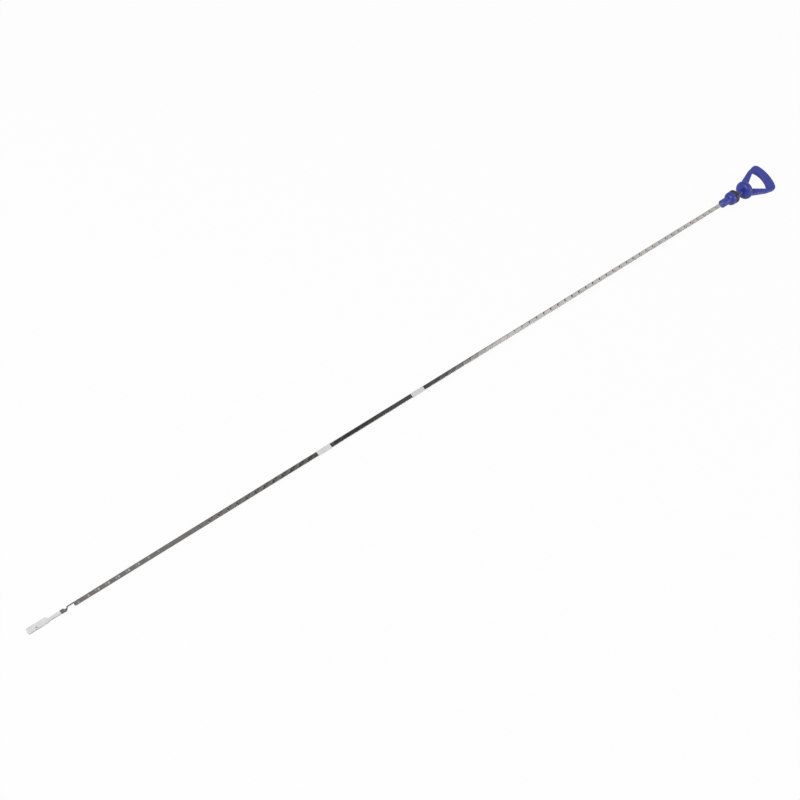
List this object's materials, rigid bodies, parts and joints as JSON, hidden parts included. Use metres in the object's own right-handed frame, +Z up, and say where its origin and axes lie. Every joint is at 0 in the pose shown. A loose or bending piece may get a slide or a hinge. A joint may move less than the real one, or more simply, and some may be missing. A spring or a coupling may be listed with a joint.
{
  "type": "engine oil dipstick",
  "caption": "Long pressed steel strip with a triangular finger-loop handle, a sealing plug and a flat measuring tip, used to read an engine's oil level.",
  "frame": {"origin": "on the surface that the stick lies on, under the middle of its length", "axes": "+X along the stick from the measuring tip to the finger loop, +Z up from the surface, so +Y is to the left of the handle"},
  "size_m": [0.9358, 0.034, 0.0206],
  "materials": {
    "handle_plastic": "satin moulded plastic",
    "seal_rubber": "smooth rubber",
    "strip_steel": "bright pressed steel",
    "white_plastic": "plain moulded plastic"
  },
  "bodies": {
    "root": {"handle": "handle_plastic", "seal_ring": "seal_rubber", "blade": "strip_steel", "guide_sleeve_lower": "white_plastic", "guide_sleeve_upper": "white_plastic", "tip": "white_plastic"}
  },
  "joints": []
}
